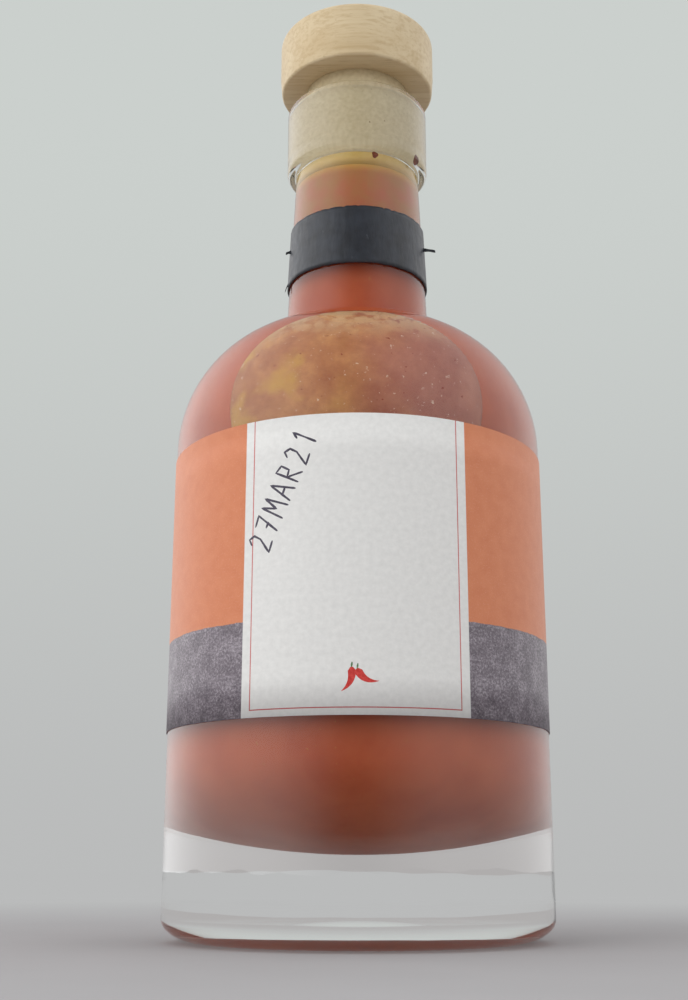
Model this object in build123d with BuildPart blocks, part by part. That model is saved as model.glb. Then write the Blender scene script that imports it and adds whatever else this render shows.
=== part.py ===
from build123d import *
from math import acos, cos, degrees, radians, sin
import os

# A round clear-glass bottle of hot sauce with a wood-topped stopper, a torn band round its neck and a
# paper label wrapped round its body. It stands on its foot: the origin is the centre of the foot, +Z is
# up, and the middle of the label faces -Y. All sizes are in millimetres.

# Glass, outside
body_radius = 30.0
shoulder_height = 76.9      # top of the straight body
shoulder_rise = 21.9        # height of the shoulder's quarter ellipse
crown_radius = 9.2          # where that ellipse would level out, inside the neck
neck_root_radius = 12.15
neck_root_blend = 1.2
collar_height = 129.0       # underside of the collar
neck_top_radius = 10.8      # neck under the collar
collar_radius = 12.4
collar_blend = 0.45         # hollow between the neck and the collar
collar_round = 1.0
lip_height = 142.1
lip_round = 1.3
mouth_round = 0.7

# Glass, foot
heel_depth = 6.6            # how far the heel turns in under the body
heel_height = 3.6
bearing_width = 3.4         # flat ring that the bottle stands on
punt_height = 3.8           # hollow under the base, at its centre

# Glass, inside
wall = 2.6
base_thickness = 12.8       # foot to the lowest point of the inside
bowl_height = 14.0          # rounded bottom of the inside, from its lowest point up to the straight wall
bore_radius = 9.25
throat_round = 2.5          # corner between the shoulder and the bore

# Contents
fill_clearance = 0.05       # sauce and oil to the glass
sauce_height = 127.0        # top of the sauce, in the neck
oil_gap = 0.1               # oil to the stopper
pocket_reach = 17.1         # air pocket at the front: its top above the shoulder's start
pocket_depth = 8.5          # sauce surface behind the glass, at the pocket's top
pocket_bend = 7.0           # and level with the shoulder's start
pocket_foot = 42.0          # the pocket's lowest point below the shoulder's start

# Stopper
shank_clearance = 0.05      # shank to the bore
shank_foot = 129.4          # lower end of the shank
shank_chamfer = 0.6
head_gap = 3.7              # lip to the underside of the head
head_radius = 13.8
head_length = 10.5
head_round = 1.2
head_foot_round = 0.5

# Band round the neck
band_foot = 107.4
band_length = 10.6
band_thickness = 0.35
band_clearance = 0.03       # band to the glass
tear_width = 0.6            # torn ends of the band
tear_thickness = 0.3

# Label
label_foot = 31.05
label_length = 43.65
label_thickness = 0.15
label_clearance = 0.02      # label to the glass
label_gap_angle = 30.0      # bare stretch between the label's ends, at the back

shoulder_arc = degrees(acos((neck_root_radius - crown_radius) / (body_radius - crown_radius)))
neck_root_height = shoulder_height + shoulder_rise * sin(radians(shoulder_arc))
inner_radius = body_radius - wall
bearing_outer = body_radius - heel_depth
punt_radius = bearing_outer - bearing_width
head_foot = lip_height + head_gap


def neck_radius(height):
    """Outer radius of the tapered neck at a height."""
    share = (height - neck_root_height) / (collar_height - neck_root_height)
    return neck_root_radius + share * (neck_top_radius - neck_root_radius)


def edge_ring(part, height, radius):
    """The circular edge of a turned part that lies nearest to a height and radius."""
    rings = part.edges().filter_by(GeomType.CIRCLE)
    return rings.sort_by(lambda ring: abs(ring.center().Z - height) + abs(ring.radius - radius))[0]


def inside_of_bottle(gap, top):
    """Turned solid that fills the bottle from its floor to a height, held off the glass by a gap."""
    wall_radius = inner_radius - gap
    floor = base_thickness + gap
    bowl_top = base_thickness + bowl_height
    throat = bore_radius - gap
    crown = shoulder_height + shoulder_rise - wall - gap
    turn = throat_round + gap
    with BuildPart() as inside:
        with BuildSketch(Plane.XZ):
            with BuildLine():
                EllipticalCenterArc((0, bowl_top), wall_radius, bowl_top - floor, -90, arc_size=90)
                Line((wall_radius, bowl_top), (wall_radius, shoulder_height))
                EllipticalCenterArc((throat + turn, shoulder_height), wall_radius - throat - turn,
                                    crown - shoulder_height, 0, arc_size=90)
                CenterArc((throat + turn, crown + turn), turn, 180, 90)
                Line((throat, crown + turn), (throat, top))
                Line((throat, top), (0, top))
                Line((0, top), (0, floor))
            make_face()
        revolve(axis=Axis.Z)
    return inside.part


# Glass: one outline from the foot to the lip, turned, its edges rounded and the hollow taken out
with BuildPart() as glass_bottle:
    with BuildSketch(Plane.XZ):
        with BuildLine():
            RadiusArc((0, punt_height), (punt_radius, 0),
                      (punt_radius ** 2 + punt_height ** 2) / (2 * punt_height))
            Line((punt_radius, 0), (bearing_outer, 0))
            EllipticalCenterArc((bearing_outer, heel_height), heel_depth, heel_height, -90, arc_size=90)
            Line((body_radius, heel_height), (body_radius, shoulder_height))
            EllipticalCenterArc((crown_radius, shoulder_height), body_radius - crown_radius, shoulder_rise,
                                0, arc_size=shoulder_arc)
            Polyline((neck_root_radius, neck_root_height), (neck_top_radius, collar_height),
                     (collar_radius, collar_height), (collar_radius, lip_height), (0, lip_height),
                     (0, punt_height))
        make_face()
    revolve(axis=Axis.Z)
    fillet(edge_ring(glass_bottle.part, neck_root_height, neck_root_radius), neck_root_blend)
    fillet(edge_ring(glass_bottle.part, collar_height, neck_top_radius), collar_blend)
    fillet(edge_ring(glass_bottle.part, collar_height, collar_radius), collar_round)
    fillet(edge_ring(glass_bottle.part, lip_height, collar_radius), lip_round)
    add(inside_of_bottle(0, lip_height), mode=Mode.SUBTRACT)
    fillet(edge_ring(glass_bottle.part, lip_height, bore_radius), mouth_round)

# Sauce: everything inside up to the neck, less the pocket of air behind the front of the shoulder
with BuildPart() as sauce:
    add(inside_of_bottle(fill_clearance, sauce_height))
    with BuildSketch(Plane.YZ):
        with BuildLine():
            pocket_top = (pocket_depth - inner_radius, shoulder_height + pocket_reach)
            pocket_middle = (pocket_bend - inner_radius, shoulder_height)
            pocket_low = (-inner_radius, shoulder_height - pocket_foot)
            pocket_curve = ThreePointArc(pocket_low, pocket_middle, pocket_top)
            front = -2 * body_radius
            Line(pocket_curve @ 1, (front, (pocket_curve @ 1).Y))
            Line((front, (pocket_curve @ 1).Y), (front, (pocket_curve @ 0).Y))
            Line((front, (pocket_curve @ 0).Y), pocket_curve @ 0)
        make_face()
    extrude(amount=body_radius, both=True, mode=Mode.SUBTRACT)

# Oil: the thin layer on top of the sauce, under the stopper
with BuildPart() as oil_layer:
    with BuildSketch(Plane.XY.offset(sauce_height)):
        Circle(bore_radius - fill_clearance)
    extrude(amount=shank_foot - oil_gap - sauce_height)

# Stopper: the shank that seals the bore, and the turned wooden head on top of it
with BuildPart() as stopper_shank:
    with BuildSketch(Plane.XY.offset(shank_foot)):
        Circle(bore_radius - shank_clearance)
    extrude(amount=head_foot - shank_foot)
    chamfer(stopper_shank.faces().sort_by(Axis.Z)[0].edges(), shank_chamfer)

with BuildPart() as stopper_head:
    with BuildSketch(Plane.XY.offset(head_foot)):
        Circle(head_radius)
    extrude(amount=head_length)
    fillet(stopper_head.faces().sort_by(Axis.Z)[-1].edges(), head_round)
    fillet(stopper_head.faces().sort_by(Axis.Z)[0].edges(), head_foot_round)

# Band: a sleeve that follows the neck's taper, with torn ends that stand off it
with BuildPart() as neck_band:
    low = neck_radius(band_foot) + band_clearance
    high = neck_radius(band_foot + band_length) + band_clearance
    with BuildSketch(Plane.XZ):
        Polygon((low, band_foot), (low + band_thickness, band_foot),
                (high + band_thickness, band_foot + band_length), (high, band_foot + band_length), align=None)
    revolve(axis=Axis.Z)
    # bearing round the neck from the front, share of the band's length, reach out and drop at the tip
    for bearing, share, reach, drop in ((78, 0.62, 2.2, 0.5), (-77, 0.6, 1.0, 0.4), (-80, 0.04, 0.7, 1.6)):
        root_height = band_foot + share * band_length
        root = neck_radius(root_height) + band_clearance + band_thickness / 2
        outward = Vector(sin(radians(bearing)), -cos(radians(bearing)), 0)
        with BuildSketch(Plane(origin=(0, 0, 0), x_dir=outward, z_dir=outward.cross(Vector(0, 0, 1)))):
            Polygon((root, root_height), (root, root_height + tear_width),
                    (root + reach, root_height + 0.7 * tear_width - drop), (root + reach, root_height - drop),
                    align=None)
        extrude(amount=tear_thickness / 2, both=True)

# Label: one strip of paper round the body, its two ends apart at the back
with BuildPart() as label:
    start = radians(90 + label_gap_angle / 2)
    with BuildSketch(Plane(origin=(0, 0, 0), x_dir=(cos(start), sin(start), 0),
                           z_dir=(sin(start), -cos(start), 0))):
        with Locations((body_radius + label_clearance, label_foot)):
            Rectangle(label_thickness, label_length, align=(Align.MIN, Align.MIN))
    revolve(axis=Axis.Z, revolution_arc=360 - label_gap_angle)

os.makedirs("parts", exist_ok=True)
glass_bottle.part.label = "glass_bottle"
sauce.part.label = "sauce"
oil_layer.part.label = "oil_layer"
stopper_shank.part.label = "stopper_shank"
stopper_head.part.label = "stopper_head"
neck_band.part.label = "neck_band"
label.part.label = "label"
for piece in (glass_bottle, sauce, oil_layer, stopper_shank, stopper_head, neck_band, label):
    export_step(piece.part, f"parts/{piece.part.label}.step")
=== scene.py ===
from math import acos, asin, cos, degrees, hypot, pi, radians, sin, sqrt

import bpy
from mathutils import Matrix, Vector, noise


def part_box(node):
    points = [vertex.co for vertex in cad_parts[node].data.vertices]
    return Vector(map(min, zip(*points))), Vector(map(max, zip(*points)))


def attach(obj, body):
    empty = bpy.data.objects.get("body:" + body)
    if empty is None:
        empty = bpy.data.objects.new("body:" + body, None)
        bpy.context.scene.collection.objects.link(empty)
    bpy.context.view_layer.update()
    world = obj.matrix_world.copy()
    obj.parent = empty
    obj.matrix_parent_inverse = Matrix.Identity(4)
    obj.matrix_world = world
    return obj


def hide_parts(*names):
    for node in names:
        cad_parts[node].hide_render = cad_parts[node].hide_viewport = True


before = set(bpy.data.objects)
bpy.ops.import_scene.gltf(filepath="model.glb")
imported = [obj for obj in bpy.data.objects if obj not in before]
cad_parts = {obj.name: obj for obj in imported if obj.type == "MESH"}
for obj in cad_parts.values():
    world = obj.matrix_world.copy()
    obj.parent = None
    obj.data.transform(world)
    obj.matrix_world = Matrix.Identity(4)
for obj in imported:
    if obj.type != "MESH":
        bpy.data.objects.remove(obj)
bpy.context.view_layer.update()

# Sizes are in metres, +Z is up and the middle of the label faces -Y. They come from the frame's boxes;
# what a box can't tell repeats the value that the part's source gives.
MM = 0.001
glass_low, glass_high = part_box("glass_bottle")
_, sauce_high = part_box("sauce")
_, oil_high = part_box("oil_layer")
shank_low, shank_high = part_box("stopper_shank")
head_low, head_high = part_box("stopper_head")
label_low, label_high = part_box("label")

# Glass, outside
BODY = (glass_high.x - glass_low.x) / 2
LIP = glass_high.z
SHOULDER = 76.9 * MM          # top of the straight body
RISE = 21.9 * MM              # height of the shoulder's quarter ellipse
CROWN = 9.2 * MM              # where that ellipse would level out, inside the neck
ROOT_RADIUS = 12.15 * MM      # neck at the shoulder
ROOT_BLEND = 1.0 * MM
ROOT_TRIM = 2.6               # degrees of the shoulder's arc that the blend takes up
NECK_TOP = 10.8 * MM          # radius of the neck under the collar
COLLAR = 129.0 * MM           # underside of the collar
COLLAR_RADIUS = 12.4 * MM
COLLAR_BLEND = 0.45 * MM      # hollow between the neck and the collar
COLLAR_ROUND = 1.0 * MM
GROOVE = COLLAR + 2.6 * MM    # fine groove round the collar
GROOVE_DEPTH = 0.14 * MM
GROOVE_HALF = 0.5 * MM        # half its width
LIP_ROUND = 1.3 * MM
MOUTH_ROUND = 0.7 * MM

# Glass, foot
HEEL_DEPTH = 6.6 * MM         # how far the heel turns in under the body
HEEL = 3.6 * MM               # its height
PUNT_RADIUS = 20.0 * MM       # hollow under the base
PUNT = 3.8 * MM
BEARING = 3.4 * MM            # width of the flat ring that the bottle stands on
KNURLS = 52                   # small marks moulded in that ring
KNURL_DEPTH = 0.45 * MM
KNURL_REACH = 1.2 * MM        # height above the floor up to which they act

# Glass, inside
WALL = 2.6 * MM
FLOOR = 12.8 * MM             # lowest point of the inside
BOWL = 14.0 * MM              # height of the rounded bottom of the inside
BORE = 9.25 * MM
THROAT = 2.5 * MM             # corner between the shoulder and the bore
OVERLAP = 0.06 * MM           # how far the contents reach into the glass wall

# Contents
MENISCUS = 0.3 * MM           # how far the sauce's top drops at the wall
MENISCUS_WIDTH = 0.4 * MM
OIL_GAP = 0.02 * MM           # sauce to oil
POCKET_FOOT = SHOULDER - 42 * MM      # air pocket at the front
POCKET_TOP = SHOULDER + 17.1 * MM
POCKET_BEND = 7.0 * MM        # sauce surface behind the wall, level with the shoulder's start
POCKET_DEPTH = 8.5 * MM       # and at the pocket's top
FILM_FOOT = SHOULDER - 41 * MM        # film of sauce on the glass before the pocket
FILM_TOP = SHOULDER + 17.0 * MM
FILM = 0.3 * MM               # its thickness, and that of its rim
FILM_RIM = 0.05 * MM
FILM_LUMP = 0.14 * MM         # lumps on it, and how deep a hollow between them may go
FILM_HOLLOW = 0.1 * MM

# Stopper
SHANK_CHAMFER = 0.6 * MM
SHANK_END = BORE - 0.7 * MM   # radius of its flat lower end
SHANK_FREE = BORE - 0.05 * MM # radius above the lip, where nothing grips it
SEAL_TOP = LIP - 0.8 * MM     # where the shank starts to leave the wall, and where it is free
SEAL_END = LIP - 0.4 * MM
HEAD_TAPER = 0.2 * MM         # how much narrower the head's foot is
HEAD_TAPER_HEIGHT = 3 * MM
HEAD_FOOT_ROUND = 0.5 * MM
HEAD_ROUND = 1.3 * MM

# Band round the neck
BAND_FOOT, BAND_TOP = 107.4 * MM, 118.0 * MM
BAND_GAP = 0.03 * MM          # band to the glass
BAND_THICKNESS = 0.35 * MM

# Label. Its print is set out in mm, along the label from the middle of the front and up from the floor.
LABEL_GAP = 0.02 * MM         # label to the glass
LABEL_INSET = 0.03 * MM       # paper's face inside the face of the CAD label
LABEL_REACH = pi - radians(15)        # bearing of its ends
LABEL_OUTSIDE = (label_high.x - label_low.x) / 2
LABEL_THICKNESS = LABEL_OUTSIDE - BODY - LABEL_GAP - LABEL_INSET
PRINT_RADIUS = LABEL_OUTSIDE - LABEL_INSET
INK_RISE = 0.02 * MM          # height of a printed stroke's middle above the paper
PANEL_LEFT, PANEL_RIGHT = -17.0, 16.85        # white front panel
LINE_LEFT, LINE_RIGHT, LINE_LOW = -15.55, 15.35, 32.1
LINE_WIDTH = 0.16
FIELD_EDGE = 44.7             # orange field above, grey field below

TURNS = 312                   # facets round every turned piece, a multiple of the knurls
ON_AXIS = 1e-7                # a smaller radius counts as a point on the axis

ROOT_ANGLE = degrees(acos((ROOT_RADIUS - CROWN) / (BODY - CROWN)))
ROOT_HEIGHT = SHOULDER + RISE * sin(radians(ROOT_ANGLE))


# ---------------------------------------------------------------- points and meshes

def arc(cx, cz, rx, rz, start, end, count):
    """Points of an ellipse's arc in the r, z plane, angles in degrees, both ends included."""
    angles = [radians(start + (end - start) * k / count) for k in range(count + 1)]
    return [(cx + rx * cos(a), cz + rz * sin(a)) for a in angles]


def straight(start, end, count):
    """Points on a line, without its first one."""
    return [tuple(start[i] + (end[i] - start[i]) * k / count for i in (0, 1)) for k in range(1, count + 1)]


def around(r, a, z):
    """A point at a radius, a bearing from the front towards +X in radians, and a height."""
    return Vector((r * sin(a), -r * cos(a), z))


def on_label(u, v, lift):
    """A point over the label, from its print coordinates in mm."""
    return around(PRINT_RADIUS + lift, u * MM / BODY, v * MM)


def make_object(name, points, faces, smooth=True):
    mesh = bpy.data.meshes.new(name)
    mesh.from_pydata([tuple(p) for p in points], [], faces)
    mesh.validate()
    mesh.update()
    mesh.polygons.foreach_set("use_smooth", [smooth] * len(mesh.polygons))
    obj = bpy.data.objects.new(name, mesh)
    bpy.context.scene.collection.objects.link(obj)
    return obj


def lathe(name, outline, shape=None):
    """Turns an outline of (r, z) round the axis. Points on the axis become poles.

    shape, if given, moves each other point; it takes the point, its radius and its angle.
    """
    points, faces, rings = [], [], []
    for r, z in outline:
        if r < ON_AXIS:
            rings.append([len(points)])
            points.append(Vector((0, 0, z)))
            continue
        rings.append(list(range(len(points), len(points) + TURNS)))
        for k in range(TURNS):
            a = 2 * pi * k / TURNS
            point = Vector((r * cos(a), r * sin(a), z))
            points.append(shape(point, r, a) if shape else point)
    for low, high in zip(rings, rings[1:]):
        for k in range(TURNS):
            n = (k + 1) % TURNS
            if len(low) == 1 and len(high) > 1:
                faces.append((low[0], high[n], high[k]))
            elif len(high) == 1 and len(low) > 1:
                faces.append((low[k], low[n], high[0]))
            elif len(low) > 1:
                faces.append((low[k], low[n], high[n], high[k]))
    return make_object(name, points, faces)


def shell_faces(rows, columns):
    """Faces of a closed shell made of two like grids of points, the outer grid first."""
    width, count = columns + 1, (columns + 1) * (rows + 1)
    faces = []
    for i in range(rows):
        for j in range(columns):
            quad = (i * width + j, i * width + j + 1, (i + 1) * width + j + 1, (i + 1) * width + j)
            faces += [quad, tuple(count + v for v in reversed(quad))]
    rim = list(range(width))
    rim += [i * width + columns for i in range(1, rows + 1)]
    rim += [rows * width + j for j in range(columns - 1, -1, -1)]
    rim += [i * width for i in range(rows - 1, 0, -1)]
    for v, n in zip(rim, rim[1:] + rim[:1]):
        faces.append((n, v, count + v, count + n))
    return faces


# ---------------------------------------------------------------- glass

def neck_radius(z):
    """Outer radius of the tapered neck at a height."""
    share = (z - ROOT_HEIGHT) / (COLLAR - ROOT_HEIGHT)
    return ROOT_RADIUS + share * (NECK_TOP - ROOT_RADIUS)


def inside_outline(gap, top):
    """The hollow of the bottle from its floor to a height, held off the glass by a gap."""
    r, floor, throat = BODY - WALL - gap, FLOOR + gap, BORE - gap
    crown = SHOULDER + RISE - WALL - gap
    turn = THROAT + gap
    bowl_top = FLOOR + BOWL
    line = [(0, floor)] + arc(0, bowl_top, r, bowl_top - floor, -90, 0, 30)[1:]
    line += straight((r, bowl_top), (r, SHOULDER), 30)
    line += arc(throat + turn, SHOULDER, r - throat - turn, crown - SHOULDER, 0, 90, 40)[1:]
    line += arc(throat + turn, crown + turn, turn, turn, 270, 180, 8)[1:]
    line += straight((throat, crown + turn), (throat, top), 24)
    return line


def glass_shape(point, r, a):
    """Knurls on the bearing ring, and the slow unevenness of moulded glass."""
    ring = PUNT_RADIUS + BEARING / 2
    near = max(0.0, 1 - abs(r - ring) / BEARING) if point.z < KNURL_REACH else 0.0
    lift = KNURL_DEPTH * min(1.0, 1.6 * near) * (0.5 - 0.5 * cos(KNURLS * a))
    wave = noise.noise(Vector((3 * cos(a), 3 * sin(a), point.z * 60)))
    scale = 1 - 0.0012 * (0.5 + 0.5 * wave)
    return Vector((point.x * scale, point.y * scale, point.z + lift))


def make_glass():
    """The bottle: its outline from under the base up to the lip, then down the inside to the floor."""
    sphere = (PUNT_RADIUS ** 2 + PUNT ** 2) / (2 * PUNT)
    edge = degrees(asin(PUNT_RADIUS / sphere))
    line = arc(0, PUNT - sphere, sphere, sphere, 90, 90 - edge, 22)
    line[0] = (0, PUNT)
    line += straight((PUNT_RADIUS, 0), (BODY - HEEL_DEPTH, 0), 6)
    line += arc(BODY - HEEL_DEPTH, HEEL, HEEL_DEPTH, HEEL, -90, 0, 16)[1:]
    line += straight((BODY, HEEL), (BODY, SHOULDER), 40)
    line += arc(CROWN, SHOULDER, BODY - CROWN, RISE, 0, ROOT_ANGLE - ROOT_TRIM, 44)[1:]
    line += [(ROOT_RADIUS + 0.28 * MM, ROOT_HEIGHT + 0.12 * MM), (ROOT_RADIUS, ROOT_HEIGHT + ROOT_BLEND)]
    line += straight((ROOT_RADIUS, ROOT_HEIGHT + ROOT_BLEND), (NECK_TOP, COLLAR - COLLAR_BLEND), 28)
    line += [(NECK_TOP + 0.13 * MM, COLLAR - 0.13 * MM), (NECK_TOP + COLLAR_BLEND, COLLAR)]
    line += arc(COLLAR_RADIUS - COLLAR_ROUND, COLLAR + COLLAR_ROUND, COLLAR_ROUND, COLLAR_ROUND,
                -90, 0, 8)[1:]
    line += [(COLLAR_RADIUS, GROOVE - GROOVE_HALF), (COLLAR_RADIUS - GROOVE_DEPTH, GROOVE),
             (COLLAR_RADIUS, GROOVE + GROOVE_HALF)]
    line += straight((COLLAR_RADIUS, GROOVE + GROOVE_HALF), (COLLAR_RADIUS, LIP - LIP_ROUND), 10)
    line += arc(COLLAR_RADIUS - LIP_ROUND, LIP - LIP_ROUND, LIP_ROUND, LIP_ROUND, 0, 90, 8)[1:]
    line += arc(BORE + MOUTH_ROUND, LIP - MOUTH_ROUND, MOUTH_ROUND, MOUTH_ROUND, 90, 180, 5)
    line += list(reversed(inside_outline(0, LIP - MOUTH_ROUND)))[1:]
    return lathe("bottle_glass", line, glass_shape)


# ---------------------------------------------------------------- contents

def pocket_depth(z):
    """How far in front of the axis the sauce stands in the air pocket: a parabola through three heights."""
    low, middle, top = POCKET_FOOT, SHOULDER, POCKET_TOP
    a, b, c = BODY - WALL, BODY - WALL - POCKET_BEND, BODY - WALL - POCKET_DEPTH
    part = a * (z - middle) * (z - top) / ((low - middle) * (low - top))
    part += b * (z - low) * (z - top) / ((middle - low) * (middle - top))
    return part + c * (z - low) * (z - middle) / ((top - low) * (top - middle))


def wall_radius(z):
    """Radius of the hollow at a height in the straight body or the shoulder."""
    if z <= SHOULDER:
        return BODY - WALL
    centre = BORE + THROAT
    crown = RISE - WALL
    return centre + (BODY - WALL - centre) * sqrt(max(0.0, 1 - ((z - SHOULDER) / crown) ** 2))


def sauce_shape(point, r, a):
    """Flattens the sauce at the front where the air pocket stands."""
    if not POCKET_FOOT < point.z < POCKET_TOP + 0.5 * MM:
        return point
    return Vector((point.x, max(point.y, -pocket_depth(point.z)), point.z))


def make_film():
    """The film of sauce left on the glass in front of the air pocket: a thin lumpy shell."""
    rows, columns = 110, 120
    points = []
    for inner in (False, True):
        for i in range(rows + 1):
            z = FILM_FOOT + (FILM_TOP - FILM_FOOT) * (1 - (1 - i / rows) ** 1.6)
            r = wall_radius(z)
            spread = acos(min(1.0, pocket_depth(z) / r))
            for j in range(columns + 1):
                share = 2 * j / columns - 1
                lump = noise.fractal(around(r, spread * share, z) * 320, 0.7, 2.0, 4) * FILM_LUMP
                body = 1 - abs(share) ** 6
                thick = FILM * body + FILM_RIM + max(lump, -FILM_HOLLOW) * body
                points.append(around(r - thick if inner else r + OVERLAP, spread * share, z))
    return make_object("sauce_film", points, shell_faces(rows, columns))


# ---------------------------------------------------------------- band, label and what lies on them

def make_strip(name, reach, columns, low, high, rows, radius, thickness, edge=None):
    """A closed strip bent round the axis, from one bearing to its opposite.

    radius gives its inner radius at a height, and edge may shift a point up or down. It carries its
    print coordinates in mm, along the arc and up.
    """
    points, prints = [], []
    for extra in (thickness, 0):
        for i in range(rows + 1):
            for j in range(columns + 1):
                a = -reach + 2 * reach * j / columns
                z = low + (high - low) * i / rows
                if edge:
                    z += edge(a, i / rows)
                points.append(around(radius(z) + extra, a, z))
                prints.append((BODY * a / MM, z / MM))
    obj = make_object(name, points, shell_faces(rows, columns))
    layer = obj.data.uv_layers.new(name="print")
    for loop in obj.data.loops:
        layer.data[loop.index].uv = prints[loop.vertex_index]
    return obj


def torn_edge(a, share):
    """Shifts the upper and lower edges of the torn band, by bearing and share of its height."""
    ragged = noise.noise(Vector((9 * sin(a), 9 * cos(a), 5 * share))) * 0.16 * MM
    nick = max(0.0, noise.noise(Vector((26 * sin(a), 26 * cos(a), 9.0))) - 0.25) * 0.5 * MM
    return (ragged - nick) * (1 if share > 0.97 else 0.6 if share < 0.03 else 0.0)


def make_tail(name, bearing, height, reach, drop):
    """A torn end of the band: a thin curved sliver that stands off the neck."""
    width, thick, steps = 0.5 * MM, 0.3 * MM, 8
    points, faces = [], []
    root = neck_radius(height) + 0.2 * MM
    out = Vector((sin(radians(bearing)), -cos(radians(bearing)), 0))
    side = Vector((out.y, -out.x, 0))
    for k in range(steps + 1):
        s = k / steps
        centre = out * (root + reach * s) + Vector((0, 0, height - drop * s ** 1.5))
        half = width / 2 * (1 - 0.35 * s) * (1 + 0.15 * sin(9 * s))
        for x, y in ((-1, -1), (1, -1), (1, 1), (-1, 1)):
            points.append(centre + side * (x * thick / 2) + Vector((0, 0, y * half)))
        if k:
            b = 4 * (k - 1)
            faces += [(b + i, b + (i + 1) % 4, b + 4 + (i + 1) % 4, b + 4 + i) for i in range(4)]
    faces += [(3, 2, 1, 0), tuple(4 * steps + i for i in range(4))]
    return make_object(name, points, faces, smooth=False)


def add_section(points, faces, spot, along, half, joined):
    """One cross-section of a printed stroke on the label, raised in its middle.

    spot and along are its place and direction in print coordinates, half is half its width.
    """
    (u, v), (du, dv) = spot, along
    size = hypot(du, dv) or 1.0
    base = len(points)
    for side, lift in ((-1, 0.0), (0, INK_RISE), (1, 0.0)):
        points.append(on_label(u - dv / size * half * side, v + du / size * half * side, lift))
    if joined:
        faces += [(base - 3 + i, base - 2 + i, base + 1 + i, base + i) for i in (0, 1)]


def make_pen_strokes(name, strokes, width):
    """Pen strokes that lie on the label, from lists of print coordinates in mm."""
    points, faces = [], []
    for stroke in strokes:
        fine = []
        for start, end in zip(stroke, stroke[1:]):
            steps = max(2, int(hypot(end[0] - start[0], end[1] - start[1]) / 0.3))
            fine += [tuple(start[i] + (end[i] - start[i]) * k / steps for i in (0, 1)) for k in range(steps)]
        fine.append(stroke[-1])
        for k, (u, v) in enumerate(fine):
            before, after = fine[max(k - 1, 0)], fine[min(k + 1, len(fine) - 1)]
            half = width / 2 * (0.8 + 0.3 * noise.noise(Vector((u, v, 0.0))))
            if k in (0, len(fine) - 1):
                half *= 0.5
            add_section(points, faces, (u, v), (after[0] - before[0], after[1] - before[1]), half, k > 0)
    return make_object(name, points, faces)


def make_pod(name, start, bend, end, width):
    """A small chilli pod printed on the label: a tapering curved stroke."""
    points, faces, steps = [], [], 18
    for k in range(steps + 1):
        s = k / steps
        spot = [(1 - s) ** 2 * start[i] + 2 * s * (1 - s) * bend[i] + s * s * end[i] for i in (0, 1)]
        along = [2 * (1 - s) * (bend[i] - start[i]) + 2 * s * (end[i] - bend[i]) for i in (0, 1)]
        half = width / 2 * min(1.0, 6 * s + 0.3) * (1 - s ** 1.6) + 0.02
        add_section(points, faces, spot, along, half, k > 0)
    return make_object(name, points, faces)


def spun_text(glyphs, origin, angle, height, advance):
    """Places glyph strokes, drawn in a unit box, along a line that rises at an angle."""
    c, s = cos(radians(angle)), sin(radians(angle))
    width = advance * 0.8
    placed = []
    for number, glyph in enumerate(glyphs):
        x = number * advance
        for stroke in glyph:
            placed.append([(origin[0] + (x + px * width) * c - py * height * s,
                            origin[1] + (x + px * width) * s + py * height * c) for px, py in stroke])
    return placed


def make_drop(name, bearing, height, wall, size):
    """A flattened drop of sauce stuck to a round wall of a given radius."""
    points, faces, rings, steps = [], [], 6, 20
    for i in range(rings + 1):
        t = i / rings * pi / 2
        for k in range(steps):
            p = 2 * pi * k / steps
            wobble = 1 + 0.15 * sin(3 * p + 1)
            du, dv = size * cos(t) * cos(p) * wobble, size * cos(t) * sin(p) * wobble * 1.1
            points.append(around(wall + 0.25 * size * sin(t), radians(bearing) + du / wall, height + dv))
    for i in range(rings):
        for k in range(steps):
            n = (k + 1) % steps
            faces.append((i * steps + k, i * steps + n, (i + 1) * steps + n, (i + 1) * steps + k))
    faces.append(tuple(range(steps - 1, -1, -1)))
    return make_object(name, points, faces)


# ---------------------------------------------------------------- materials

def srgb(r, g, b):
    return tuple((c / 255 / 12.92 if c / 255 <= 0.04045 else ((c / 255 + 0.055) / 1.055) ** 2.4)
                 for c in (r, g, b)) + (1.0,)


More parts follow.
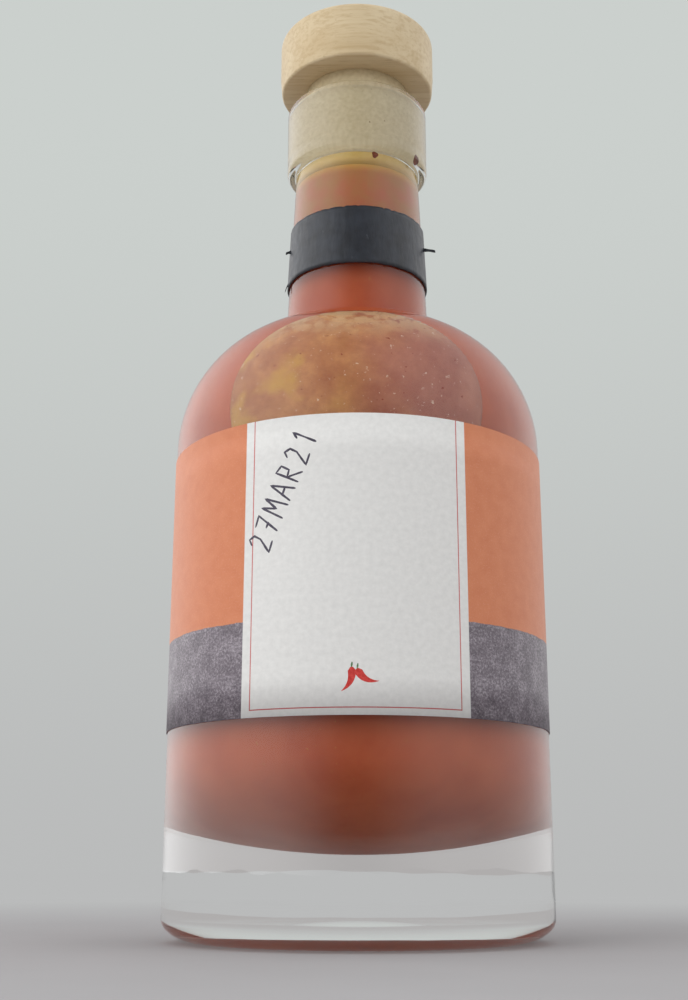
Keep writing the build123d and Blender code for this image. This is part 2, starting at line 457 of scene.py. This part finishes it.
class Tree:
    """Short names for the nodes that the materials use."""

    def __init__(self, tree):
        self.tree = tree

    def node(self, kind, **inputs):
        node = self.tree.nodes.new(kind)
        for key, value in inputs.items():
            self.put(node.inputs[key.replace("_", " ")], value)
        return node

    def put(self, socket, value):
        if isinstance(value, bpy.types.NodeSocket):
            self.tree.links.new(value, socket)
        else:
            socket.default_value = value

    def math(self, operation, *values):
        node = self.tree.nodes.new("ShaderNodeMath")
        node.operation = operation
        for socket, value in zip(node.inputs, values):
            self.put(socket, value)
        return node.outputs[0]

    def place(self, scale=(1, 1, 1)):
        """Object coordinates in millimetres, stretched by a scale."""
        where = self.node("ShaderNodeTexCoord").outputs["Object"]
        mapping = self.node("ShaderNodeMapping", Vector=where)
        mapping.inputs["Scale"].default_value = [s / MM for s in scale]
        return mapping.outputs[0]

    def noise(self, vector, scale, detail=4.0, rough=0.55):
        node = self.node("ShaderNodeTexNoise", Vector=vector, Scale=scale, Detail=detail, Roughness=rough)
        return node.outputs["Fac"]

    def ramp(self, value, *stops):
        """A colour ramp from (place, colour) pairs, the colours in sRGB 0 to 255."""
        node = self.node("ShaderNodeValToRGB", Fac=value)
        while len(node.color_ramp.elements) < len(stops):
            node.color_ramp.elements.new(0.5)
        for element, (place, colour) in zip(node.color_ramp.elements, stops):
            element.position = place
            element.color = srgb(*colour)
        return node.outputs[0]

    def mix(self, share, a, b):
        """a where the share is 0, b where it is 1."""
        node = self.tree.nodes.new("ShaderNodeMix")
        node.data_type = "RGBA"
        self.put(node.inputs[0], share)
        self.put(node.inputs[6], a)
        self.put(node.inputs[7], b)
        return node.outputs[2]

    def mix_shaders(self, share, a, b):
        """Mixes two shader nodes into the material's surface."""
        both = self.node("ShaderNodeMixShader", Fac=share)
        self.tree.links.new(a.outputs[0], both.inputs[1])
        self.tree.links.new(b.outputs[0], both.inputs[2])
        self.tree.links.new(both.outputs[0], self.tree.nodes["Material Output"].inputs["Surface"])

    def step(self, value, edge, soft):
        """0 below an edge, 1 above it, with half the change on each side of it."""
        node = self.node("ShaderNodeMapRange", Value=value)
        node.interpolation_type = "SMOOTHSTEP"
        self.put(node.inputs["From Min"], self.math("SUBTRACT", edge, soft))
        self.put(node.inputs["From Max"], self.math("ADD", edge, soft))
        return node.outputs[0]

    def bump(self, shader, height, distance, strength):
        node = self.node("ShaderNodeBump", Height=height, Distance=distance, Strength=strength)
        self.tree.links.new(node.outputs[0], shader.inputs["Normal"])


def new_material(name, **values):
    """A material, its shader with the given inputs set, and its node tree."""
    material = bpy.data.materials.new(name)
    material.use_nodes = True
    shader = material.node_tree.nodes["Principled BSDF"]
    for key, value in values.items():
        shader.inputs[key.replace("_", " ")].default_value = value
    return material, shader, Tree(material.node_tree)


def glass_material():
    material, shader, t = new_material("clear_glass", Base_Color=(1, 1, 1, 1), Roughness=0.0, IOR=1.5,
                                       Transmission_Weight=1.0)
    t.bump(shader, t.noise(t.place((0.06, 0.06, 0.03)), 1.0, 2.0), 0.0004, 0.25)
    # light reaches what the glass holds, as it does through a thin clear wall
    clear = t.node("ShaderNodeBsdfTransparent", Color=(0.93, 0.94, 0.94, 1))
    t.mix_shaders(t.node("ShaderNodeLightPath").outputs["Is Shadow Ray"], shader, clear)
    return material


def sauce_material():
    """Orange-red in the body, browner in the neck and yellow at its top."""
    material, shader, t = new_material("chilli_sauce", Roughness=0.45, Subsurface_Weight=0.25,
                                       Subsurface_Radius=(1.0, 0.35, 0.15), Subsurface_Scale=0.002)
    where = t.place()
    height = t.node("ShaderNodeSeparateXYZ", Vector=where).outputs["Z"]
    body = t.ramp(t.noise(where, 0.09, 5.0, 0.6), (0.3, (186, 80, 38)), (0.7, (206, 104, 60)))
    neck = t.ramp(t.noise(where, 0.3, 4.0), (0.35, (184, 128, 76)), (0.7, (194, 112, 78)))
    body = t.mix(t.step(height, 113.0, 5.0), body, neck)
    top = t.ramp(t.noise(where, 0.5, 3.0), (0.3, (206, 154, 76)), (0.7, (214, 166, 92)))
    body = t.mix(t.step(height, 126.0, 1.0), body, top)
    flecks = t.step(t.noise(where, 1.6, 2.0), 0.72, 0.02)
    t.put(shader.inputs["Base Color"], t.mix(flecks, body, srgb(196, 120, 60)))
    t.bump(shader, t.noise(where, 0.9, 5.0), 0.0001, 0.3)
    return material


def film_material():
    """Cloudy tan, yellower on the left and rosier on the right, with red bits, a painted highlight along its
    top rim and painted white sparkles.
    """
    material, shader, t = new_material("sauce_film", Roughness=0.38, Subsurface_Weight=0.2,
                                       Subsurface_Radius=(1.0, 0.5, 0.2), Subsurface_Scale=0.001)
    where = t.place()
    parts = t.node("ShaderNodeSeparateXYZ", Vector=where)
    across, height = parts.outputs["X"], parts.outputs["Z"]
    cloud = t.noise(where, 0.16, 6.0, 0.65)
    tan = t.ramp(cloud, (0.3, (184, 114, 76)), (0.5, (204, 138, 92)), (0.68, (226, 164, 108)))
    rose = t.ramp(cloud, (0.3, (174, 100, 84)), (0.68, (204, 136, 114)))
    drift = t.math("ADD", across, t.math("MULTIPLY", t.noise(where, 0.12), 14.0))
    colour = t.mix(t.step(drift, 10.0, 7.0), tan, rose)
    yellow = t.math("MULTIPLY", t.step(t.noise(where, 0.11, 3.0), 0.56, 0.08),
                    t.math("SUBTRACT", 1.0, t.step(across, -4.0, 6.0)))
    colour = t.mix(yellow, colour, srgb(220, 168, 86))
    # painted highlight: a pale band along the top of the film, where its rim glints
    painted_rim_glint = t.math("MULTIPLY", t.step(height, 90.0, 3.0), t.step(t.noise(where, 0.5, 4.0), 0.45, 0.1))
    colour = t.mix(t.math("MULTIPLY", painted_rim_glint, 0.7), colour, srgb(234, 196, 150))
    # painted highlight: small white specks that stand for wet sparkle
    painted_sparkle = t.step(t.noise(where, 1.1, 5.0, 0.7), 0.66, 0.02)
    colour = t.mix(t.math("MULTIPLY", painted_sparkle, 0.8), colour, srgb(248, 226, 206))
    red = t.step(t.noise(t.place((1.0, 1.0, 1.3)), 0.8, 2.0), 0.73, 0.02)
    t.put(shader.inputs["Base Color"], t.mix(red, colour, srgb(160, 62, 34)))
    t.bump(shader, t.noise(where, 0.9, 6.0, 0.7), 0.0004, 0.7)
    return material


def oil_material():
    material, shader, t = new_material("amber_oil", Roughness=0.3)
    where = t.place()
    colour = t.ramp(t.noise(where, 0.3, 3.0), (0.3, (214, 176, 96)), (0.7, (226, 194, 124)))
    t.put(shader.inputs["Base Color"], colour)
    t.bump(shader, t.noise(where, 1.2, 3.0), 0.0001, 0.3)
    return material


def shank_material():
    """Cream with fine brown pores."""
    material, shader, t = new_material("cream_shank", Roughness=0.6)
    where = t.place()
    colour = t.ramp(t.noise(where, 1.5, 5.0), (0.3, (206, 188, 150)), (0.7, (222, 206, 172)))
    pores = t.step(t.noise(where, 1.3, 2.0), 0.74, 0.015)
    t.put(shader.inputs["Base Color"], t.mix(pores, colour, srgb(150, 120, 80)))
    t.bump(shader, t.noise(where, 3.0, 4.0), 0.0001, 0.5)
    return material


def wood_material():
    """Pale wood with its grain and pores along X, across the head."""
    material, shader, t = new_material("pale_wood", Roughness=0.5, Coat_Weight=0.12, Coat_Roughness=0.35)
    cloud = t.noise(t.place((0.05, 0.2, 0.2)), 1.0, 3.0)
    base = t.ramp(cloud, (0.3, (206, 182, 142)), (0.7, (222, 202, 166)))
    grain = t.noise(t.place((0.06, 1.6, 1.6)), 1.0, 6.0, 0.6)
    base = t.mix(t.math("MULTIPLY", t.step(grain, 0.55, 0.12), 0.45), base, srgb(186, 156, 112))
    pores = t.step(t.noise(t.place((0.25, 4.0, 4.0)), 1.0, 2.0), 0.68, 0.03)
    base = t.mix(t.math("MULTIPLY", pores, 0.4), base, srgb(160, 128, 88))
    t.put(shader.inputs["Base Color"], base)
    t.put(shader.inputs["Roughness"], t.math("ADD", 0.42, t.math("MULTIPLY", grain, 0.16)))
    t.bump(shader, grain, 0.00008, 0.6)
    return material


def band_material():
    """Blue-black film, scuffed and faintly creased."""
    material, shader, t = new_material("black_band", Roughness=0.4)
    where = t.place()
    colour = t.ramp(t.noise(where, 0.35, 5.0), (0.3, (34, 36, 41)), (0.7, (48, 52, 60)))
    scuff = t.step(t.noise(t.place((1.0, 1.0, 0.3)), 0.9, 5.0, 0.7), 0.68, 0.04)
    t.put(shader.inputs["Base Color"], t.mix(t.math("MULTIPLY", scuff, 0.35), colour, srgb(96, 100, 108)))
    t.put(shader.inputs["Roughness"], t.math("ADD", 0.3, t.math("MULTIPLY", t.noise(where, 0.8), 0.25)))
    t.bump(shader, t.noise(t.place((1.0, 1.0, 0.35)), 0.7, 4.0), 0.0003, 0.35)
    return material


def ink_material(name, colour):
    """A plain ink with slow changes of depth."""
    material, shader, t = new_material(name, Roughness=0.5)
    shade = t.noise(t.place(), 2.5, 3.0)
    light = tuple(min(255, c + 34) for c in colour)
    t.put(shader.inputs["Base Color"], t.ramp(shade, (0.35, colour), (0.75, light)))
    return material


def label_material():
    """White front panel with a thin red border; orange over grey on both sides of it."""
    material, shader, t = new_material("printed_paper", Roughness=0.45)
    uv = t.node("ShaderNodeUVMap")
    uv.uv_map = "print"
    spot = uv.outputs[0]
    parts = t.node("ShaderNodeSeparateXYZ", Vector=spot)
    u, v = parts.outputs["X"], parts.outputs["Y"]

    def on_line(value, line):
        return t.math("LESS_THAN", t.math("ABSOLUTE", t.math("SUBTRACT", value, line)), LINE_WIDTH / 2)

    inside = t.math("MULTIPLY", t.step(u, PANEL_LEFT, 0.04),
                    t.math("SUBTRACT", 1.0, t.step(u, PANEL_RIGHT, 0.04)))
    uprights = t.math("MULTIPLY", t.math("MAXIMUM", on_line(u, LINE_LEFT), on_line(u, LINE_RIGHT)),
                      t.math("GREATER_THAN", v, LINE_LOW - LINE_WIDTH / 2))
    between = t.math("MULTIPLY", t.math("GREATER_THAN", u, LINE_LEFT), t.math("LESS_THAN", u, LINE_RIGHT))
    border = t.math("MAXIMUM", uprights, t.math("MULTIPLY", on_line(v, LINE_LOW), between))
    paper = t.ramp(t.noise(spot, 1.2, 6.0), (0.3, (226, 224, 221)), (0.7, (236, 234, 231)))
    paper = t.mix(border, paper, srgb(196, 92, 92))

    orange = t.ramp(t.noise(spot, 0.5, 5.0), (0.3, (207, 122, 82)), (0.7, (214, 132, 92)))
    # pale patches in the washed-out colour that sheen gives the orange: partly wear, partly painted sheen
    wear_and_sheen = t.math("MULTIPLY", t.step(t.noise(spot, 4.0, 2.0), 0.62, 0.05), 0.12)
    orange = t.mix(wear_and_sheen, orange, srgb(232, 190, 170))
    clods = t.noise(spot, 0.35, 4.0, 0.6)
    grain = t.math("ADD", t.math("MULTIPLY", t.noise(spot, 2.6, 8.0, 0.8), 0.75),
                   t.math("MULTIPLY", clods, 0.25))
    grey = t.ramp(grain, (0.38, (66, 58, 66)), (0.5, (118, 108, 116)), (0.62, (178, 170, 176)))
    ridge = t.math("ADD", FIELD_EDGE, t.math("MULTIPLY", t.math("SUBTRACT", clods, 0.5), 0.5))
    side = t.mix(t.step(v, ridge, 0.05), grey, orange)

    t.put(shader.inputs["Base Color"], t.mix(inside, side, paper))
    fibre = t.noise(spot, 3.0, 4.0)
    t.put(shader.inputs["Roughness"], t.math("ADD", 0.36, t.math("MULTIPLY", fibre, 0.2)))
    t.bump(shader, fibre, 0.00003, 0.4)
    return material


def floor_material():
    """Pale round the bottle, going over far off to the background's darker low colour, a painted shade."""
    material, shader, t = new_material("pale_floor", Roughness=0.9, Specular_IOR_Level=0.1)
    mottle = t.noise(t.place((0.02, 0.02, 0.02)), 1.0)
    t.put(shader.inputs["Base Color"], t.ramp(mottle, (0.3, (176, 174, 175)), (0.7, (180, 178, 179))))
    far = t.node("ShaderNodeVectorMath", Vector=t.place())
    far.operation = "LENGTH"
    glow = t.node("ShaderNodeEmission", Color=BACKGROUND_SHADED_LOW)
    t.mix_shaders(t.step(far.outputs["Value"], 160.0, 110.0), shader, glow)
    return material


# ---------------------------------------------------------------- the bottle

def finish_piece(obj, material, slot, *nodes):
    """Gives a piece its material and body, and hides the CAD nodes that it stands for. Its slot is not used.
    """
    obj.data.materials.append(material)
    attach(obj, "root")
    if nodes:
        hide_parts(*nodes)


finish_piece(make_glass(), glass_material(), "clear_glass", "glass_bottle")

sauce_line = inside_outline(-OVERLAP, sauce_high.z - MENISCUS)
sauce_line += [(BORE - MENISCUS_WIDTH, sauce_high.z), (0, sauce_high.z)]
finish_piece(lathe("sauce_body", sauce_line, sauce_shape), sauce_material(), "chilli_sauce", "sauce")
finish_piece(make_film(), film_material(), "chilli_sauce")

oil_line = [(0, sauce_high.z + OIL_GAP), (BORE + OVERLAP, sauce_high.z - MENISCUS + OIL_GAP),
            (BORE + OVERLAP, oil_high.z), (0, oil_high.z)]
finish_piece(lathe("oil_body", oil_line), oil_material(), "amber_oil", "oil_layer")

shank_line = [(0, shank_low.z), (SHANK_END, shank_low.z), (BORE + OVERLAP, shank_low.z + SHANK_CHAMFER)]
shank_line += straight(shank_line[-1], (BORE + OVERLAP, SEAL_TOP), 8)
shank_line += [(SHANK_FREE, SEAL_END), (SHANK_FREE, shank_high.z), (0, shank_high.z)]
finish_piece(lathe("shank_body", shank_line), shank_material(), "cream_shank", "stopper_shank")

head_radius = (head_high.x - head_low.x) / 2
foot_radius = head_radius - HEAD_TAPER - HEAD_FOOT_ROUND
head_line = [(0, head_low.z)] + straight((0, head_low.z), (foot_radius, head_low.z), 8)
head_line += arc(foot_radius, head_low.z + HEAD_FOOT_ROUND, HEAD_FOOT_ROUND, HEAD_FOOT_ROUND, -90, 0, 5)[1:]
head_line += straight(head_line[-1], (head_radius, head_low.z + HEAD_TAPER_HEIGHT), 5)
head_line += straight(head_line[-1], (head_radius, head_high.z - HEAD_ROUND), 8)
head_line += arc(head_radius - HEAD_ROUND, head_high.z - HEAD_ROUND, HEAD_ROUND, HEAD_ROUND, 0, 90, 8)[1:]
head_line += straight(head_line[-1], (0, head_high.z), 10)
finish_piece(lathe("head_body", head_line), wood_material(), "pale_wood", "stopper_head")

band_black = band_material()
band = make_strip("band_sleeve", pi, 260, BAND_FOOT, BAND_TOP, 14,
                  lambda z: neck_radius(z) + BAND_GAP, BAND_THICKNESS, torn_edge)
finish_piece(band, band_black, "black_band", "neck_band")
# bearing round the neck from the front, height of the root, reach out and drop at the tip
for side, bearing, height, reach, drop in (("right", 78, 114.2 * MM, 2.2 * MM, 0.5 * MM),
                                           ("left", -77, 113.9 * MM, 1.0 * MM, 0.4 * MM),
                                           ("low", -80, 108.2 * MM, 0.7 * MM, 1.6 * MM)):
    finish_piece(make_tail("band_tail_" + side, bearing, height, reach, drop), band_black, "black_band")

paper = make_strip("label_paper", LABEL_REACH, 300, label_low.z, label_high.z, 8,
                   lambda z: BODY + LABEL_GAP, LABEL_THICKNESS)
finish_piece(paper, label_material(), "printed_paper", "label")

# A date in pen, rising along the panel's left side: two digits, a short month, two digits
TWO = [[(0.1, 0.8), (0.4, 1.0), (0.75, 0.85), (0.7, 0.55), (0.1, 0.0), (0.9, 0.05)]]
SEVEN = [[(0.05, 0.95), (0.85, 1.0), (0.35, 0.0)], [(0.25, 0.5), (0.7, 0.5)]]
EM = [[(0.0, 0.0), (0.15, 1.0), (0.45, 0.4), (0.8, 1.0), (0.95, 0.0)]]
AY = [[(0.0, 0.0), (0.5, 1.0), (0.9, 0.0)], [(0.2, 0.4), (0.75, 0.42)]]
AR = [[(0.1, 0.0), (0.15, 1.0), (0.7, 0.9), (0.65, 0.55), (0.15, 0.5), (0.85, 0.0)]]
ONE = [[(0.3, 0.75), (0.6, 1.0), (0.55, 0.0)]]
date_strokes = spun_text([TWO, SEVEN, EM, AY, AR, TWO, ONE], origin=(-12.9, 54.3), angle=66,
                         height=3.9, advance=2.75)
finish_piece(make_pen_strokes("pen_date", date_strokes, 0.4), ink_material("pen_ink", (52, 46, 62)),
             "printed_paper")

# Two chilli pods with short stems, low on the panel: the pod's start, bend and tip
red_ink = ink_material("red_print", (190, 44, 38))
green_ink = ink_material("green_print", (70, 104, 60))
for number, (start, bend, tip) in enumerate((((-0.6, 37.6), (-0.2, 35.4), (-2.0, 34.3)),
                                             ((0.2, 37.4), (1.0, 35.4), (3.2, 35.7)))):
    finish_piece(make_pod(f"printed_pod_{number}", start, bend, tip, 1.15), red_ink, "printed_paper")
    stem = [start, (start[0] + 0.1, start[1] + 0.7)]
    finish_piece(make_pen_strokes(f"printed_stem_{number}", [stem], 0.35), green_ink, "printed_paper")

# Two drops of dried sauce, on the neck and under the collar: bearing, height, wall and size
dried = ink_material("dried_sauce", (96, 38, 16))
for name, bearing, height, wall, size in (
        ("drip_spot", 17, 128.2 * MM, neck_radius(128.2 * MM), 0.55 * MM),
        ("drip_collar", 60, 129.6 * MM, COLLAR_RADIUS - 0.7 * MM, 0.8 * MM)):
    finish_piece(make_drop(name, bearing, height, wall, size), dried, "chilli_sauce")

# ---------------------------------------------------------------- floor, light, camera

BACKGROUND = srgb(203, 208, 205)
# painted shade: the background is darker low down, towards the floor
BACKGROUND_SHADED_LOW = srgb(186, 187, 187)
BASE_PAINTED_SHADOW = srgb(168, 163, 162)        # painted shadow: the darker background that the base glass shows from low down
ROOM_LIGHT = (0.5, 0.505, 0.51, 1)      # what lights matt surfaces from all round
WINDOW_LEFT, WINDOW_RIGHT = 1.7, 0.9    # brightness of the windows and the room in reflections
ROOM, ROOM_BEHIND = 0.16, 0.25
AIM = Vector((0, 0, 0.075))             # middle of the bottle


def flat_light(name, centre, size, energy, colour):
    """A soft lamp aimed at the bottle, in metres and watts. Only its light is seen, not its shape."""
    data = bpy.data.lights.new(name, "AREA")
    data.shape = "RECTANGLE"
    data.size, data.size_y = size
    data.energy = energy
    data.color = colour
    lamp = bpy.data.objects.new(name, data)
    lamp.location = centre
    lamp.visible_glossy = False
    lamp.visible_transmission = False
    lamp.rotation_euler = (AIM - Vector(centre)).to_track_quat("-Z", "Y").to_euler()
    bpy.context.scene.collection.objects.link(lamp)


flat_light("window_left", (-0.55, -0.42, 0.32), (0.6, 0.8), 3.3, (0.97, 0.99, 1.0))
flat_light("window_right", (0.62, -0.35, 0.22), (0.5, 0.7), 1.5, (0.96, 0.98, 1.0))
flat_light("above", (0.0, 0.05, 0.8), (0.8, 0.8), 1.6, (1.0, 1.0, 1.0))

# The world shows a pale background to the eye and through the glass, two windows in reflections
# and an even room to everything else
world = bpy.data.worlds.new("studio")
bpy.context.scene.world = world
world.use_nodes = True
sky = Tree(world.node_tree)
path = sky.node("ShaderNodeLightPath")
seen = sky.math("MAXIMUM", path.outputs["Is Camera Ray"], path.outputs["Is Transmission Ray"])
direction = sky.node("ShaderNodeSeparateXYZ", Vector=sky.node("ShaderNodeTexCoord").outputs["Generated"])
left = sky.math("SUBTRACT", 1.0, sky.step(direction.outputs["X"], edge=-0.5, soft=0.45))
right = sky.step(direction.outputs["X"], edge=0.45, soft=0.4)
behind = sky.step(direction.outputs["Y"], edge=0.1, soft=0.5)
room = sky.math("ADD", sky.math("MULTIPLY", left, WINDOW_LEFT), sky.math("MULTIPLY", right, WINDOW_RIGHT))
room = sky.math("ADD", room, ROOM)
room = sky.math("ADD", room, sky.math("MULTIPLY", behind, ROOM_BEHIND))
reflected = sky.node("ShaderNodeCombineColor", Red=room, Green=room, Blue=room).outputs[0]
lit = sky.mix(path.outputs["Is Glossy Ray"], ROOM_LIGHT, reflected)
# painted shade: darker towards the bottom of the background
pale = sky.mix(sky.step(direction.outputs["Z"], edge=0.25, soft=0.3), BACKGROUND_SHADED_LOW, BACKGROUND)
# painted shadow: through the glass, the background low down is darker
through = sky.mix(sky.step(direction.outputs["Z"], edge=0.05, soft=0.25), BASE_PAINTED_SHADOW, pale)
pale = sky.mix(path.outputs["Is Transmission Ray"], pale, through)
sky.put(world.node_tree.nodes["Background"].inputs["Color"], sky.mix(seen, lit, pale))

bpy.ops.mesh.primitive_circle_add(vertices=96, radius=3.0, fill_type="TRIFAN", location=(0, 0, 0))
floor = bpy.context.object
floor.name = "studio_floor"
floor.data.materials.append(floor_material())

# The camera looks up at the bottle from low in front of it, as the photograph's does
CAMERA_SPOT = Vector((1.92, -211.2, 11.0)) * MM
PITCH, YAW, ROLL = radians(15.58), radians(-1.13), radians(0.08)
camera_data = bpy.data.cameras.new("camera")
camera_data.sensor_width = 36.0
camera_data.lens = 47.4
camera = bpy.data.objects.new("camera", camera_data)
forward = Vector((sin(YAW) * cos(PITCH), cos(YAW) * cos(PITCH), sin(PITCH)))
level = Vector((cos(YAW), -sin(YAW), 0))
upright = level.cross(forward)
turned_level = cos(ROLL) * level + sin(ROLL) * upright
turned_upright = cos(ROLL) * upright - sin(ROLL) * level
turn = Matrix((turned_level, turned_upright, -forward)).transposed().to_4x4()
camera.matrix_world = Matrix.Translation(CAMERA_SPOT) @ turn
bpy.context.scene.collection.objects.link(camera)
bpy.context.scene.camera = camera

bpy.context.scene.view_settings.view_transform = "Standard"
bpy.context.view_layer.update()
